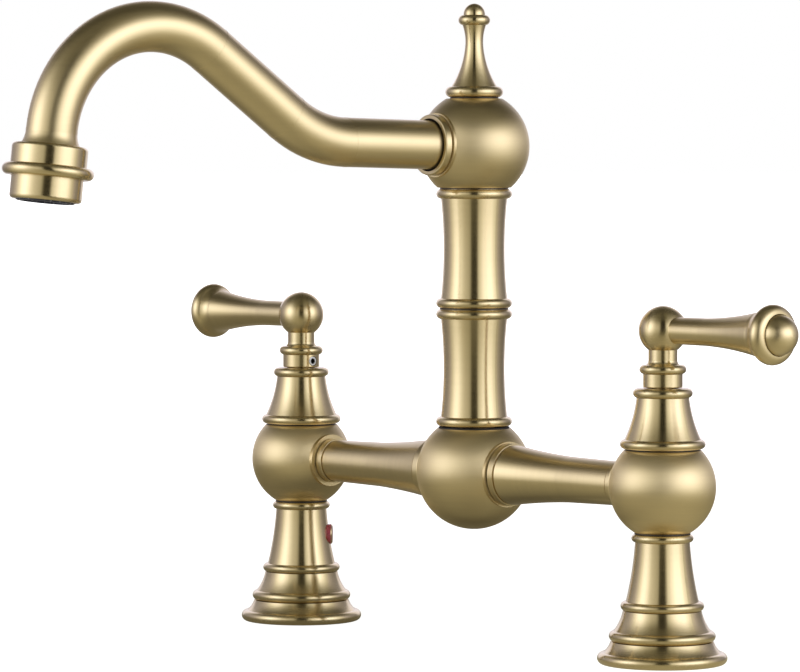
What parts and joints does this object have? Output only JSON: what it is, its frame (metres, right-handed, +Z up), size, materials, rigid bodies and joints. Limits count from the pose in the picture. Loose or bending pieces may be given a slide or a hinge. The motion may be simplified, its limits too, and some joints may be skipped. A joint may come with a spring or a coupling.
{
  "type": "kitchen tap",
  "caption": "Deck-mounted bridge kitchen tap in brushed brass: turned legs with lever handles, a bridge with a swivelling column, and a swan-neck spout with an aerator.",
  "frame": {"origin": "midway between the axes of the two legs, on the worktop's top face", "axes": "+X along the bridge towards the cold side, -Y towards the user at the sink, +Z up; at rest the spout points 6 degrees off -Y and both levers point outwards"},
  "size_m": [0.333, 0.229, 0.3027],
  "materials": {
    "brushed_brass": "satin brass, brushed round the turned pieces",
    "plain_brass": "machined, uncoated",
    "stainless_steel": "machined",
    "seal_rubber": "matt",
    "white_ceramic": "lapped ceramic",
    "red_enamel": "glossy enamel",
    "blue_enamel": "glossy enamel",
    "slip_plastic": "matt",
    "aerator_plastic": "satin",
    "aerator_screen": "satin"
  },
  "bodies": {
    "body": {"left_leg": "brushed_brass", "right_leg": "brushed_brass", "left_shank": "plain_brass", "right_shank": "plain_brass", "left_ball": "brushed_brass", "right_ball": "brushed_brass", "left_bonnet": "brushed_brass", "right_bonnet": "brushed_brass", "left_cartridge_body": "plain_brass", "right_cartridge_body": "plain_brass", "left_fixed_disc": "white_ceramic", "right_fixed_disc": "white_ceramic", "hot_button": "red_enamel", "cold_button": "blue_enamel", "foot_gaskets": "seal_rubber", "rubber_washers": "seal_rubber", "steel_washers": "stainless_steel", "lock_nuts": "plain_brass", "cartridge_seals": "seal_rubber", "left_bridge_tube": "brushed_brass", "right_bridge_tube": "brushed_brass", "bridge_seals": "seal_rubber", "centre_ball": "brushed_brass", "slip_ring": "slip_plastic", "swivel_screw": "stainless_steel"},
    "spout": {"swivel_shank": "plain_brass", "swivel_seal": "seal_rubber", "column_lower": "brushed_brass", "column_joiner": "plain_brass", "column_upper": "brushed_brass", "top_nipple": "plain_brass", "top_ball": "brushed_brass", "spout_seal": "seal_rubber", "spout_collar": "brushed_brass", "spout_tube": "brushed_brass", "nozzle": "brushed_brass", "aerator_seal": "seal_rubber", "aerator_housing": "aerator_plastic", "aerator_screen": "aerator_screen", "finial": "brushed_brass"},
    "left_handle": {"left_moving_disc": "white_ceramic", "left_stem": "plain_brass", "left_hub": "brushed_brass", "left_lever": "brushed_brass", "left_lever_knob": "brushed_brass", "left_handle_screw": "stainless_steel"},
    "right_handle": {"right_moving_disc": "white_ceramic", "right_stem": "plain_brass", "right_hub": "brushed_brass", "right_lever": "brushed_brass", "right_lever_knob": "brushed_brass", "right_handle_screw": "stainless_steel"}
  },
  "joints": [
    {"name": "spout_swivel", "type": "hinge", "parent": "body", "child": "spout", "pos_m": [0, 0, 0.0824], "axis": [0, 0, 1], "continuous": true},
    {"name": "left_handle_turn", "type": "hinge", "parent": "body", "child": "left_handle", "pos_m": [-0.1016, 0, 0.1014], "axis": [0, 0, 1], "range_deg": [0, 90]},
    {"name": "right_handle_turn", "type": "hinge", "parent": "body", "child": "right_handle", "pos_m": [0.1016, 0, 0.1014], "axis": [0, 0, 1], "range_deg": [-90, 0]}
  ]
}
